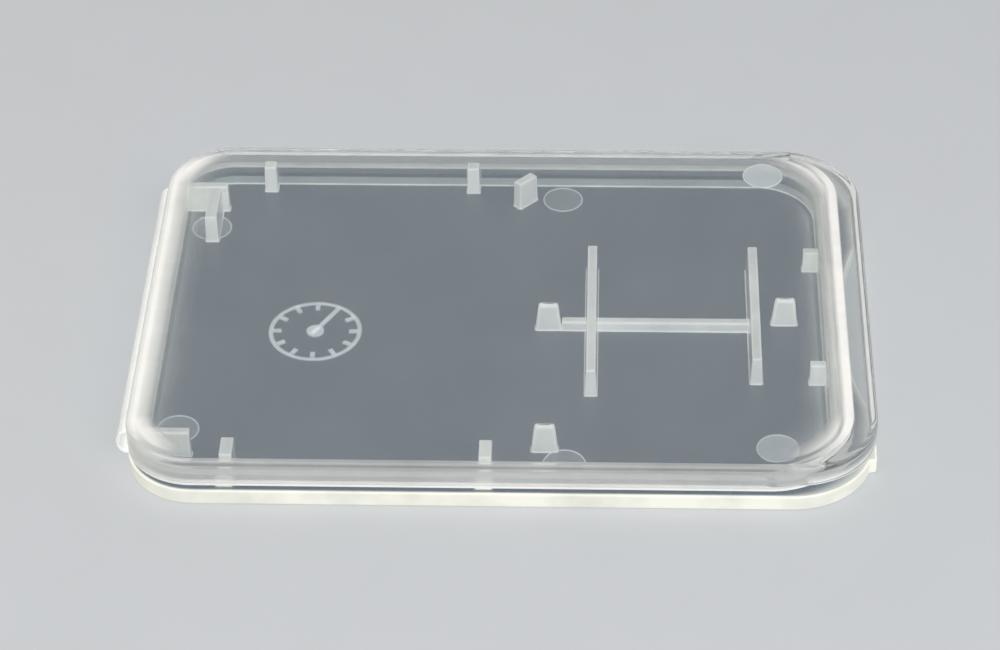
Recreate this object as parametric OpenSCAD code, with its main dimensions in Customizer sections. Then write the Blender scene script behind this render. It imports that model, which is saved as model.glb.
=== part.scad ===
// Memory card case: a closed translucent clamshell for one full-size card and one micro card.
// The base lies on Z = 0, the hinge web is at -X and the thumb lip at +X, and Y runs along the hinge.

/* [Case] */
// Overall length, from the outer side of the hinge web to the front of the lip
case_l = 54.4; // [52:0.1:70]
// Overall width, along the hinge
case_w = 38; // [37:0.1:50]
// Overall height, closed
case_h = 4; // [3.6:0.1:5.2]
// Radius of the two corners beside the hinge
rear_r = 5; // [4:0.1:7]
// Radius of the two corners beside the lip
front_r = 6; // [4:0.1:8]

/* [Shells] */
// Thickness of the floor and of the lid's top
plate_t = 0.8; // [0.6:0.05:1]
// Height of the base's outer ledge above the table
ledge_h = 1.26; // [1:0.02:1.6]
// Open parting line between the ledge and the lid's skirt
parting_gap = 0.49; // [0.3:0.01:0.7]
// Thickness of the lid's skirt
skirt_t = 0.65; // [0.5:0.05:0.9]
// Thickness of the base's upright wall
wall_t = 0.6; // [0.5:0.05:0.8]
// Height of the top of the base's upright wall above the table
wall_top = 2.55; // [2.2:0.05:2.9]
// Play between the upright wall and the skirt round it
fit_gap = 0.07; // [0.05:0.01:0.12]
// Extra play at the front wall, where the latch ridge stands out
front_gap = 0.2; // [0.05:0.01:0.25]
// Least play beside the rear wall while the lid swings
swing_gap = 0.045; // [0.02:0.005:0.1]
// Play under the lid above each rib and peg
head_gap = 0.1; // [0.05:0.01:0.2]

/* [Front lip] */
// How far the lip stands out in front of the lid's skirt
lip_reach = 1.8; // [1.2:0.1:3]
// Set-back of the base's corners behind the lid's lip
lip_setback = 0.2; // [0.1:0.05:0.4]
// Length of the straight stretch of the base's lip
lip_len = 29.8; // [24:0.1:30]
// Width of the rim under the lid's lip
lip_rim_t = 0.5; // [0.4:0.05:0.8]
// Height of the rim's lower edge above the table
lip_rim_z = 2.3; // [2:0.05:2.8]
// How far behind the skirt's front face the rim begins
lip_rim_run = 4.9; // [3:0.1:5.2]
// Radius of the thumb scoop in the base's lip
scoop_r = 20.3; // [15:0.1:25]
// Length of the thumb scoop along the front of the lip
scoop_len = 19.6; // [14:0.1:22]

/* [Hinge] */
// Length of the hinge web
web_len = 29.4; // [20:0.1:30]
// Thickness of the hinge web
web_t = 0.25; // [0.2:0.01:0.28]
// How far the folded web stands out behind the shells
web_reach = 0.8; // [0.7:0.05:1.2]
// Radius of the bead along the web's fold
fold_r = 0.2; // [0.15:0.01:0.25]
// Running play round the bead
fold_gap = 0.04; // [0.02:0.01:0.08]

/* [Latch] */
// Length of the latch ridge on the front wall
ridge_len = 13; // [8:0.5:14]
// How far the ridge stands out
ridge_out = 0.18; // [0.05:0.01:0.2]
// Height of the ridge
ridge_h = 0.3; // [0.2:0.05:0.4]
// Distance between the facing sides of the two stays behind the front wall
stay_gap = 12.75; // [10:0.05:14]
// Width of each stay, along the hinge
stay_w = 0.75; // [0.6:0.05:1]
// How far each stay stands out behind the front wall
stay_reach = 1.2; // [0.8:0.05:1.5]
// Offset of the pair of stays along the hinge
stay_shift = 0.58; // [0:0.01:1]

/* [Full-size card] */
// Width of the card
card_w = 24; // [24:0.1:24]
// Length of the card, along the hinge
card_l = 32; // [32:0.1:32]
// Play of the card across the case
card_play_x = 0.25; // [0.1:0.05:0.5]
// Play of the card along the hinge
card_play_y = 0.3; // [0.1:0.05:0.6]
// Side of the card's cut corner
card_cut = 4; // [4:0.1:4]
// Offset of the card bay along the hinge
bay_shift = 0.5; // [0:0.05:0.6]

/* [Card ribs and pegs] */
// Distance from the rear wall to the card
heel_reach = 3.35; // [3:0.05:4]
// Thickness of the two heel ribs
heel_t = 0.75; // [0.6:0.05:1]
// Distance between the facing sides of the heel ribs
heel_gap = 28.7; // [26:0.1:30]
// Offset of the pair of heel ribs along the hinge
heel_shift = -0.3; // [-0.6:0.05:0.6]
// Length of the spur beside the far heel rib
spur_len = 3.95; // [3:0.05:5]
// Width of the spur
spur_w = 1; // [0.8:0.05:1.2]
// Distance from the card to the spur
spur_off = 0.5; // [0.3:0.05:1]
// Width of each rib on the side walls
side_rib_w = 1; // [0.8:0.05:1.2]
// Distance from the card's rear edge to the first far rib
far_rib_start = 2.55; // [2:0.05:3.5]
// Distance from the card's front edge back to the second far rib
far_rib_end = 5.75; // [5:0.05:7]
// Distance from the card's rear edge to the first near rib
near_rib_start = 2.25; // [2:0.05:3.5]
// Distance from the card's front edge back to the second near rib
near_rib_end = 3.65; // [3:0.05:5]
// Width of a stop peg at its foot
peg_w = 1.95; // [1.6:0.05:2.4]
// Thickness of a stop peg at its foot
peg_t = 0.75; // [0.6:0.05:1]
// Draft of the pegs, in degrees
peg_draft = 8; // [4:0.5:9]
// Distance from the near end of the card to the near peg
peg_start = 1.3; // [1:0.05:3]
// Offset of the middle peg and of the cradle's seat web along the hinge
peg_shift = -0.1; // [-0.5:0.05:0.5]
// Thickness of the rib that stops the card's cut corner
cut_rib_t = 0.8; // [0.6:0.05:1]
// Length of that rib
cut_rib_l = 1.9; // [1.4:0.05:2.2]

/* [Micro card] */
// Width of the micro card
micro_w = 11; // [11:0.1:11]
// Length of the micro card, along the hinge
micro_l = 15; // [15:0.1:15]
// Play of the micro card in its cradle
micro_play = 0.2; // [0.1:0.05:0.4]
// Distance from the full-size card to the micro card
micro_off = 4.65; // [4.2:0.05:6]
// Thickness of the cradle's two bars
bar_t = 0.9; // [0.7:0.05:1.1]
// Offset of the cradle along the hinge
micro_shift = -0.45; // [-0.6:0.05:0.6]
// How much shorter the front bar is, at its near end
bar_short = 1.5; // [0:0.1:3]
// Height of the seat web that the micro card lies on
seat_h = 0.77; // [0.6:0.01:1]
// Distance from the cradle's front bar to the rest post
post_off = 0.85; // [0.5:0.05:1.5]
// Distance of the rest post from the case's middle line
post_shift = 0.35; // [-0.5:0.05:0.8]

/* [Mould marks] */
// Diameter of an ejector mark
eject_d = 3; // [2:0.1:4]
// Depth of an ejector mark
eject_deep = 0.05; // [0.02:0.01:0.1]
// Diameter of the moulded dial
dial_d = 7; // [5:0.1:8]
// Line width of the moulded dial
dial_line = 0.35; // [0.25:0.05:0.5]
// Height of the moulded dial
dial_h = 0.1; // [0.05:0.01:0.15]
// Number of ticks on the moulded dial
dial_ticks = 12; // [4:1:24]
// Length of a tick
dial_tick = 0.8; // [0.4:0.1:1.2]
// Distance from the card's rear edge to the middle of the dial
dial_off = 7.8; // [6:0.1:10]
// Offset of the dial along the hinge
dial_shift = -0.85; // [-2:0.05:2]

/* [Hidden] */
$fn = 96;

half_w = case_w / 2;
// Shells: rear face, front face of the lid's skirt, front of the lip
front_x = case_l / 2;
rear_x = -case_l / 2 + web_reach;
skirt_x = front_x - lip_reach;
skirt_z = ledge_h + parting_gap;
// Fold line of the hinge web, half way up, so that both shells lie flat when open
fold_x = -case_l / 2 + fold_r;
fold_z = case_h / 2;
// The skirt's lower edge swings round the fold, and the rear wall keeps clear of it
swing_x = rear_x + skirt_t - fold_x;
swing_r = sqrt(pow(swing_x, 2) + pow(fold_z - skirt_z, 2));
rear_gap = max(fit_gap, swing_r - swing_x + swing_gap);
// Upright wall of the base, inside and outside
wall_in_y = half_w - skirt_t - fit_gap - wall_t;
wall_in_rear = rear_x + skirt_t + rear_gap + wall_t;
wall_in_front = skirt_x - skirt_t - fit_gap - front_gap - wall_t;
wall_in_rear_r = rear_r - (half_w - wall_in_y);
wall_in_front_r = front_r - (skirt_x - wall_in_front);
floor_z = plate_t;
lid_z = case_h - plate_t;
rib_h = lid_z - floor_z - head_gap;
// Leaves of the hinge web; the lid's one stops short of the base's, also when they lie back to back
leaf_drop = fold_z - ledge_h + web_t / 2;
leaf_run = rear_x - fold_x;
leaf_l = sqrt(pow(leaf_drop, 2) + pow(leaf_run, 2));
relief_r = max(fold_r + fold_gap, web_t * leaf_l / leaf_run / 2 + fold_gap / 2);
// Card bay
bay_x = wall_in_rear + heel_reach;
bay_end_x = bay_x + card_w + card_play_x;
bay_y = bay_shift + (card_l + card_play_y) / 2;
bay_near_y = bay_shift - (card_l + card_play_y) / 2;
// Micro card cradle
cradle_x = bay_end_x + micro_off;
cradle_end_x = cradle_x + micro_w + micro_play;
cradle_near_y = micro_shift - (micro_l + micro_play) / 2;
// Draft of a peg on its thin sides, as a share of that on its wide sides
thin_draft = 0.6;
latch_z = (skirt_z + wall_top) / 2;
// Ejector marks: one beside each bay corner and two along the front
floor_marks = [[bay_x - 1.2, 11.9], [bay_x - 1.3, -12.25], [bay_end_x + 1.8, 15.9],
               [bay_end_x + 2.4, -15.6], [cradle_end_x + 1.8, -13.7]];
lid_marks = [[cradle_end_x + 1.5, wall_in_y - 1.7]];

// Plan of a shell: its rear and front corners have their own radius
module plan(x0, x1, half, r0, r1) {
    translate([x0 + r0, -half]) square([x1 - x0 - r0 - r1, 2 * half]);
    translate([x0, r0 - half]) square([2 * r0, 2 * (half - r0)]);
    translate([x1 - 2 * r1, r1 - half]) square([2 * r1, 2 * (half - r1)]);
    for (side = [-1, 1]) {
        translate([x0 + r0, side * (half - r0)]) circle(r = r0);
        translate([x1 - r1, side * (half - r1)]) circle(r = r1);
    }
}

// Plan inside the base's upright wall, grown by a margin
module wall_plan(grow) {
    plan(wall_in_rear - grow, wall_in_front + grow, wall_in_y + grow,
         wall_in_rear_r + grow, wall_in_front_r + grow);
}

// Plan of the base: rounded corners, and the straight lip with its thumb scoop
module base_plan() {
    scoop_x = front_x + sqrt(pow(scoop_r, 2) - pow(scoop_len / 2, 2));
    difference() {
        union() {
            plan(rear_x, front_x - lip_setback, half_w, rear_r, front_r);
            translate([skirt_x, -lip_len / 2]) square([lip_reach, lip_len]);
        }
        intersection() {
            translate([scoop_x, 0]) circle(r = scoop_r);
            translate([skirt_x, -half_w]) square([2 * lip_reach, case_w]);
        }
    }
}

// Shallow round marks in the floor or the lid
module marks(places, z) {
    for (at = places) translate([at[0], at[1], z]) cylinder(h = 2 * eject_deep, d = eject_d, center = true);
}

// A peg or post with draft on all four sides, standing on the floor with its near face at y
module peg(x, y, w, t, h) {
    draw = 2 * h * tan(peg_draft);
    translate([x + w / 2, y + t / 2, floor_z])
        linear_extrude(height = h, scale = [(w - draw) / w, (t - draw * thin_draft) / t], slices = 1, $fn = 4)
            square([w, t], center = true);
}

// One leaf of the hinge web, from a shell's rear face to the fold
module leaf(up) {
    translate([fold_x, web_len / 2, fold_z]) rotate([90, 0, 0]) linear_extrude(height = web_len)
        difference() {
            rotate(atan2(up * leaf_drop, leaf_run)) translate([0, -web_t / 2]) square([leaf_l + web_t, web_t]);
            translate([leaf_run, -2 * case_h]) square([2 * case_h, 4 * case_h]);
        }
}

module fold_bead(r) {
    translate([fold_x, 0, fold_z]) rotate([90, 0, 0]) cylinder(h = web_len, r = r, center = true);
}

module base_floor() {
    color([0.86, 0.88, 0.89, 0.5]) difference() {
        linear_extrude(height = plate_t) base_plan();
        marks(floor_marks, floor_z);
    }
}

module base_rim_wall() {
    color([0.93, 0.94, 0.93, 0.8]) translate([0, 0, floor_z]) difference() {
        union() {
            linear_extrude(height = ledge_h - floor_z) base_plan();
            linear_extrude(height = wall_top - floor_z) wall_plan(wall_t);
        }
        translate([0, 0, -case_h]) linear_extrude(height = 2 * case_h) wall_plan(0);
    }
}

module base_hinge_leaf() {
    color([0.93, 0.94, 0.93, 0.8]) union() {
        leaf(-1);
        fold_bead(fold_r);
    }
}

// Two ribs from the rear wall to the card's long edge
module card_heel_ribs() {
    color([0.85, 0.86, 0.87, 0.7]) for (side = [-1, 1])
        translate([0, 0, floor_z]) linear_extrude(height = rib_h) intersection() {
            wall_plan(0);
            translate([wall_in_rear, heel_shift + side * (heel_gap + heel_t) / 2 - heel_t / 2])
                square([heel_reach, heel_t]);
        }
}

module card_heel_spur() {
    color([0.85, 0.86, 0.87, 0.7])
        translate([bay_x - spur_off - spur_w, heel_shift + heel_gap / 2 - spur_len, floor_z])
            cube([spur_w, spur_len, rib_h]);
}

// Four ribs on the side walls, which hold the ends of the card
module card_side_ribs() {
    rib_x_far = [bay_x + far_rib_start, bay_end_x - far_rib_end];
    rib_x_near = [bay_x + near_rib_start, bay_end_x - near_rib_end];
    color([0.85, 0.86, 0.87, 0.7]) {
        for (x = rib_x_far) translate([x, bay_y, floor_z])
            cube([side_rib_w, wall_in_y - bay_y, rib_h]);
        for (x = rib_x_near) translate([x, -wall_in_y, floor_z])
            cube([side_rib_w, bay_near_y + wall_in_y, rib_h]);
    }
}

// Near peg and middle peg along the card's long edge; the middle one ends the cradle's seat web
module card_stop_pegs() {
    color([0.85, 0.86, 0.87, 0.7]) {
        peg(bay_end_x, bay_near_y + peg_start, peg_w, peg_t, rib_h);
        peg(bay_end_x, peg_shift - peg_t / 2, peg_w, peg_t, rib_h);
    }
}

// Rib square to the card's cut corner
module card_corner_rib() {
    cut_x = bay_end_x - card_cut / 2;
    cut_y = bay_y - card_cut / 2;
    color([0.85, 0.86, 0.87, 0.7]) translate([cut_x, cut_y, floor_z]) rotate(45)
        translate([card_play_y, -cut_rib_t / 2, 0]) cube([cut_rib_l, cut_rib_t, rib_h]);
}

// H-shaped cradle: two bars along the micro card, joined by the low seat web
module micro_card_cradle() {
    color([0.85, 0.86, 0.87, 0.7]) union() {
        translate([cradle_x - bar_t, cradle_near_y, floor_z])
            cube([bar_t, micro_l + micro_play, rib_h]);
        translate([cradle_end_x, cradle_near_y + bar_short, floor_z])
            cube([bar_t, micro_l + micro_play - bar_short, rib_h]);
        translate([bay_end_x + peg_w, peg_shift - peg_t / 2, floor_z])
            cube([cradle_end_x - bay_end_x - peg_w + bar_t / 2, peg_t, seat_h]);
    }
}

// Post that the lid's middle rests over, in front of the cradle
module lid_rest_post() {
    color([0.85, 0.86, 0.87, 0.7]) peg(cradle_end_x + bar_t + post_off, post_shift, peg_w, peg_t, rib_h);
}

// Two stays that stiffen the front wall at the ends of the latch ridge
module front_wall_stays() {
    color([0.85, 0.86, 0.87, 0.7]) for (side = [-1, 1])
        translate([wall_in_front - stay_reach, stay_shift + side * (stay_gap + stay_w) / 2 - stay_w / 2, floor_z])
            cube([stay_reach, stay_w, wall_top - floor_z]);
}

// Low ridge on the outside of the front wall, which snaps past the skirt
module latch_ridge() {
    color([0.93, 0.94, 0.93, 0.8])
        translate([wall_in_front + wall_t, -ridge_len / 2, latch_z - ridge_h / 2])
            cube([ridge_out, ridge_len, ridge_h]);
}

// Plain moulded dial on the floor: a ring, ticks and a pointer
module mould_dial() {
    color([0.85, 0.86, 0.87, 0.7])
        translate([bay_x + dial_off, dial_shift, floor_z]) linear_extrude(height = dial_h) {
            difference() {
                circle(d = dial_d);
                circle(d = dial_d - 2 * dial_line);
            }
            for (n = [0 : dial_ticks - 1]) rotate(n * 360 / dial_ticks)
                translate([dial_d / 2 - dial_line - dial_tick, -dial_line / 2])
                    square([dial_tick + dial_line / 2, dial_line]);
            circle(d = dial_d / 5);
            rotate(60) translate([0, -dial_line / 2]) square([dial_d / 4, dial_line]);
        }
}

module lid_cover() {
    color([0.86, 0.88, 0.89, 0.5]) difference() {
        translate([0, 0, lid_z]) linear_extrude(height = plate_t)
            plan(rear_x, front_x, half_w, rear_r, front_r);
        marks(lid_marks, lid_z);
    }
}

module lid_skirt() {
    color([0.93, 0.94, 0.93, 0.8]) translate([0, 0, skirt_z]) linear_extrude(height = lid_z - skirt_z)
        difference() {
            plan(rear_x, skirt_x, half_w, rear_r, front_r);
            plan(rear_x + skirt_t, skirt_x - skirt_t, half_w - skirt_t, rear_r - skirt_t, front_r - skirt_t);
        }
}

// Rim that hangs under the edge of the lid's lip
module lid_lip_rim() {
    color([0.93, 0.94, 0.93, 0.8]) translate([0, 0, lip_rim_z]) linear_extrude(height = lid_z - lip_rim_z)
        difference() {
            plan(rear_x, front_x, half_w, rear_r, front_r);
            plan(rear_x, front_x - lip_rim_t, half_w - lip_rim_t, rear_r, front_r - lip_rim_t);
            plan(rear_x, skirt_x, half_w, rear_r, front_r);
            translate([rear_x, -half_w]) square([skirt_x - lip_rim_run - rear_x, case_w]);
        }
}

module lid_hinge_leaf() {
    color([0.93, 0.94, 0.93, 0.8]) difference() {
        leaf(1);
        fold_bead(relief_r);
    }
}

base_floor();
base_rim_wall();
base_hinge_leaf();
card_heel_ribs();
card_heel_spur();
card_side_ribs();
card_stop_pegs();
card_corner_rib();
micro_card_cradle();
lid_rest_post();
front_wall_stays();
latch_ridge();
mould_dial();
lid_cover();
lid_skirt();
lid_lip_rim();
lid_hinge_leaf();
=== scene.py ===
"""Memory card case: a translucent clamshell with a living hinge, closed and empty, on a pale floor."""

import math

import bmesh
import bpy
import numpy as np
from bpy.props import FloatProperty, FloatVectorProperty, IntProperty, PointerProperty
from mathutils import Matrix, Vector


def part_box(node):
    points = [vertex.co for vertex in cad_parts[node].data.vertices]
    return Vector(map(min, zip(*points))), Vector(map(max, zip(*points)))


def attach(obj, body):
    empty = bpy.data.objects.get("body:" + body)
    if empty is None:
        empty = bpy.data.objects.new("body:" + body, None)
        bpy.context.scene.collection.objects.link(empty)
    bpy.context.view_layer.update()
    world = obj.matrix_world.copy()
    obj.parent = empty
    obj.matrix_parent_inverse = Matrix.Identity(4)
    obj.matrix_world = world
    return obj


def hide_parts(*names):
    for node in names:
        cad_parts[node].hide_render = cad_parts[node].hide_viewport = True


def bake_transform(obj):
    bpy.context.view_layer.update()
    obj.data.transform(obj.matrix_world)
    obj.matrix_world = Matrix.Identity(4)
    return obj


bl_info = {
    "name": "Memory card case",
    "version": (1, 0, 0),
    "blender": (4, 5, 0),
    "location": "View3D > Sidebar > Card case",
    "description": "Builds the shells, hinge web, card ribs and mould marks of a translucent card case",
    "category": "Object",
}

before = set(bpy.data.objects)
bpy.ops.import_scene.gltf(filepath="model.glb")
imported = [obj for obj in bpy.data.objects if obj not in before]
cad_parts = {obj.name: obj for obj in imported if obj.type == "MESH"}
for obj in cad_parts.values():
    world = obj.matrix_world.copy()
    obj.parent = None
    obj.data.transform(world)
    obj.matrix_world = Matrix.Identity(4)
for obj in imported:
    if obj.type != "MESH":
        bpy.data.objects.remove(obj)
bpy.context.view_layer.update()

# Sizes inside the script are in millimetres, and meshes are written in metres
MM = 0.001
# Points closer than this are merged, in metres
MERGED = 1e-6
# Points of a CAD node this close in height are on one level
LEVEL = 0.01
# Distance from a soft edge to the ring beside it, which keeps the edge's shine narrow
BESIDE = 0.1
# Distances from a fillet, and from a wall, to the rings that keep a plate flat
NEAR_FILLET, OFF_FILLET = 0.3, 2.0
# Refractive index of polypropylene
REFRACTION = 1.49
# Rings of the cover: distance in from the skirt, and the milk added at corners, at both ends and at the rear
COVER_HAZE = ((3.2, 0, 0, 0), (1.7, 0.15, 0, 0), (0.9, 0.3, 0.2, 0.3), (0.3, 0.3, 0.55, 0.15))


def corners(node):
    """Lowest and highest corner of a CAD node, in millimetres."""
    low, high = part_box(node)
    return np.array(low) / MM, np.array(high) / MM


COVER_LOW, COVER_HIGH = corners("lid_cover")
SKIRT_LOW, SKIRT_HIGH = corners("lid_skirt")
RIM_LOW = corners("lid_lip_rim")[0]
FLOOR_LOW, FLOOR_HIGH = corners("base_floor")
WALL_LOW, WALL_HIGH = corners("base_rim_wall")
LEAF_LOW, LEAF_HIGH = corners("base_hinge_leaf")
DIAL_LOW, DIAL_HIGH = corners("mould_dial")
RIDGE_LOW, RIDGE_HIGH = corners("latch_ridge")


def length(name, description, millimetres):
    """A length for the panel."""
    return FloatProperty(name=name, description=description, default=millimetres * MM,
                         unit="LENGTH", precision=5, min=0.0)


def factor(name, description, value):
    """A share from 0 to 1 for the panel."""
    return FloatProperty(name=name, description=description, default=value,
                         min=0.0, max=1.0, subtype="FACTOR")


class CASE_PG_shells(bpy.types.PropertyGroup):
    """Sizes of the two shells and of the web between them."""

    rear_radius: length("Rear radius", "Radius of the two corners beside the hinge", 5.0)
    front_radius: length("Front radius", "Radius of the two corners beside the lip", 6.0)
    skirt: length("Skirt", "Thickness of the lid's skirt", 0.65)
    wall: length("Wall", "Thickness of the base's upright wall", 0.6)
    rim: length("Rim", "Width of the rim under the lid's lip", 0.5)
    ledge: length("Ledge", "Height of the base's outer ledge", 1.26)
    top_round: length("Top round", "Radius along the lid's upper edge", 0.4)
    foot_round: length("Foot round", "Radius along the base's lower edge", 0.2)
    edge_round: length("Edge round", "Radius along the edges of walls and rims", 0.1)
    fillet: length("Fillet", "Radius where a wall meets a plate", 0.15)
    lip_length: length("Lip length", "Length of the straight stretch of the base's lip", 29.8)
    lip_setback: length("Lip set-back", "Set-back of the base's corners behind the lid's lip", 0.2)
    scoop_radius: length("Scoop radius", "Radius of the thumb scoop in the base's lip", 20.3)
    scoop_length: length("Scoop length", "Length of the thumb scoop along the lip's front", 19.6)
    web: length("Web", "Thickness of the hinge web", 0.22)


class CASE_PG_finish(bpy.types.PropertyGroup):
    """Colours and milkiness of the moulded plastic."""

    plate_milk: factor("Plate milk", "Share of light that each face of a plate scatters", 0.10)
    side_milk: factor("Side milk", "Share of light that an upright face scatters", 0.48)
    edge_milk: factor("Edge milk", "Share of light that rounded edges and fillets scatter", 0.95)
    rib_milk: factor("Rib milk", "Share of light that the faces of ribs and pegs scatter", 0.78)
    rib_round: length("Rib round", "Radius along the upper edges of ribs and pegs", 0.1)
    rib_foot: length("Rib foot", "Radius of the fillet round the foot of ribs and pegs", 0.06)


class CASE_PG_stage(bpy.types.PropertyGroup):
    """Floor, light and camera."""

    floor: FloatVectorProperty(
        name="Floor", description="Colour of the floor", subtype="COLOR", size=3,
        default=(0.56, 0.57, 0.58), min=0.0, max=1.0)
    key: FloatProperty(
        name="Key light", description="Power of the large soft light", default=1.5, min=0.0, unit="POWER")
    fill: FloatProperty(
        name="Fill light", description="Power of the light low in front", default=1.8, min=0.0, unit="POWER")
    surround: FloatProperty(
        name="Surround", description="Strength of the even light from all round", default=0.52, min=0.0)


def linear(text, alpha=1.0):
    """Linear colour of an sRGB hex value."""
    parts = [int(text[i:i + 2], 16) / 255 for i in (1, 3, 5)]
    return tuple(c / 12.92 if c <= 0.04045 else ((c + 0.055) / 1.055) ** 2.4 for c in parts) + (alpha,)


def node(tree, kind, inputs=(), **settings):
    """Adds a node with its settings; each input is a value, or the socket or node that feeds it."""
    made = tree.nodes.new(kind)
    for name, value in settings.items():
        setattr(made, name, value)
    for place, value in dict(inputs).items():
        if isinstance(value, bpy.types.Node):
            value = value.outputs[0]
        if isinstance(value, bpy.types.NodeSocket):
            tree.links.new(value, made.inputs[place])
        else:
            made.inputs[place].default_value = value
    return made


def fresh_material(name):
    """A new material and its empty node tree."""
    made = bpy.data.materials.new(name)
    made.use_nodes = True
    made.node_tree.nodes.clear()
    return made, made.node_tree


def sum_of(tree, operation, first, second, **settings):
    """The outcome of a sum with two numbers, each a value or a socket."""
    return node(tree, "ShaderNodeMath", {0: first, 1: second}, operation=operation, **settings)


def noise(tree, scale, detail, roughness=0.5):
    """Noise that stays with the object, with scale spots to the metre."""
    place = node(tree, "ShaderNodeTexCoord").outputs["Object"]
    return node(tree, "ShaderNodeTexNoise", {
        "Vector": place, "Scale": scale, "Detail": detail, "Roughness": roughness})


def mixed(tree, share, first, second):
    """The first shader with a share of the second."""
    return node(tree, "ShaderNodeMixShader", {"Fac": share, 1: first, 2: second})


def polypropylene(name, clear, face, edge, roughness, behind_share, milk=None):
    """Natural polypropylene, injection moulded: clear where thin and flat, milky where light scatters in it.

    milk is the share that scatters; without it the share comes from the mesh's own milk attribute. Faces
    scatter in the face colour, and the milkiest parts, the edges and fillets, in the edge colour. Lamps
    reach what lies inside through a plain tinted stand-in, as they do through the real thin wall.
    """
    made, tree = fresh_material(name)
    # Clouds 5 mm across, from uneven cooling in the mould
    cloud = noise(tree, 200.0, 3.0, 0.55)
    # Grain 0.35 mm across, the fine texture of the mould's steel
    grain = noise(tree, 2800.0, 2.0)
    # Waves 2.5 mm across and a few micrometres high bend the highlights
    wave = noise(tree, 400.0, 1.0)
    uneven = node(tree, "ShaderNodeMapRange", {
        "Value": cloud, "From Min": 0.3, "From Max": 0.7, "To Min": 0.85, "To Max": 1.15})
    share = milk
    if milk is None:
        share = node(tree, "ShaderNodeAttribute", attribute_name="milk").outputs["Fac"]
    haze = sum_of(tree, "MULTIPLY", share, uneven, use_clamp=True)
    gathered = node(tree, "ShaderNodeMapRange", {"Value": share, "From Min": 0.35, "From Max": 0.9})
    milky = node(tree, "ShaderNodeMix", {"Factor": gathered, 6: linear(face), 7: linear(edge)},
                 data_type="RGBA").outputs[2]
    low = node(tree, "ShaderNodeBump", {"Height": wave, "Strength": 0.15, "Distance": 0.000006})
    normal = node(tree, "ShaderNodeBump", {
        "Height": grain, "Strength": 0.2, "Distance": 0.000004, "Normal": low})
    window = node(tree, "ShaderNodeBsdfGlass", {
        "Color": linear(clear), "Roughness": roughness, "IOR": REFRACTION, "Normal": normal})
    front = node(tree, "ShaderNodeBsdfDiffuse", {"Color": milky, "Normal": normal})
    behind = node(tree, "ShaderNodeBsdfTranslucent", {"Color": milky, "Normal": normal})
    scatter = mixed(tree, behind_share, front, behind)
    gloss = node(tree, "ShaderNodeBsdfAnisotropic", {
        "Color": (1, 1, 1, 1), "Roughness": 0.22, "Normal": normal})
    sheen = node(tree, "ShaderNodeFresnel", {"IOR": REFRACTION, "Normal": normal})
    skin = mixed(tree, sheen, scatter, gloss)
    seen = mixed(tree, haze, window, skin)
    passed = node(tree, "ShaderNodeBsdfTransparent", {"Color": linear("#F8F9FA")})
    to_lamp = node(tree, "ShaderNodeLightPath").outputs["Is Shadow Ray"]
    node(tree, "ShaderNodeOutputMaterial", {"Surface": mixed(tree, to_lamp, seen, passed)})
    return made


# For each kind: the material's name; colours where it is clear, on milky faces and on milky edges; roughness;
# the share of scattered light that goes on through it; and its milk, if that is even
FINISH_VALUES = {
    "shell": ("polypropylene_moulded_lid", "#EEF0F1", "#BCBCB9", "#FFFCF6", 0.06, 0.12),
    "tray": ("polypropylene_moulded_tray", "#C4CCD3", "#B4B6B6", "#FFFDEF", 0.06, 0.08),
    "rib": ("polypropylene_moulded_rib", "#F1F0EE", "#FFFBF3", "#FFFDF6", 0.12, 0.08),
    "web": ("polypropylene_flexed_web", "#F2F4F2", "#F4F4F0", "#FDFDF8", 0.14, 0.1, 0.93),
    "mark": ("polypropylene_mould_mark", "#F2F4F4", "#E6EAEB", "#FCFDFD", 0.14, 0.1),
}
FINISHES = {}


def finish_of(kind):
    """The material for the shells, the ribs, the hinge web or the raised marks, made once."""
    if kind not in FINISHES:
        FINISHES[kind] = polypropylene(*FINISH_VALUES[kind])
    return FINISHES[kind]


def put(name, mesh, kind, body, nodes):
    """Links a finished mesh as a piece that rides on a body and stands for CAD nodes."""
    piece = bpy.data.objects.new(name, mesh)
    bpy.context.scene.collection.objects.link(piece)
    if not mesh.materials:
        mesh.materials.append(finish_of(kind))
    if body:
        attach(piece, body)
    if nodes:
        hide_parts(*nodes)
    return piece


def mesh_from(name, verts, faces, milk=None):
    """A smooth closed mesh from points in millimetres, with doubles merged and faces turned outwards."""
    made = bpy.data.meshes.new(name)
    made.from_pydata([tuple(p) for p in np.asarray(verts) * MM], [], faces)
    if milk is not None:
        haze = made.attributes.new("milk", "FLOAT", "POINT")
        haze.data.foreach_set("value", np.asarray(milk, np.float32))
    shape = bmesh.new()
    shape.from_mesh(made)
    bmesh.ops.remove_doubles(shape, verts=shape.verts, dist=MERGED)
    bmesh.ops.recalc_face_normals(shape, faces=shape.faces)
    shape.to_mesh(made)
    shape.free()
    made.shade_smooth()
    return made


def tube(count, rings, first=0):
    """Faces round a tube of rings with count points each, whose points start at an index."""
    return [(low + i, low + (i + 1) % count, low + count + (i + 1) % count, low + count + i)
            for low in range(first, first + (rings - 1) * count, count) for i in range(count)]


def loft(name, *solids):
    """A mesh of closed solids, each through rings of as many points: (points in plan, height, milk)."""
    verts, milk, faces, first = [], [], [], 0
    for rings in solids:
        count = len(rings[0][0])
        for plan, height, haze in rings:
            verts.append(np.column_stack([plan, np.broadcast_to(height, count)]))
            milk.append(np.broadcast_to(haze, count))
        last = first + (len(rings) - 1) * count
        faces += tube(count, len(rings), first)
        faces += [tuple(reversed(range(first, first + count))), tuple(range(last, last + count))]
        first = last + count
    return mesh_from(name, np.concatenate(verts), faces, np.concatenate(milk))


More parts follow.
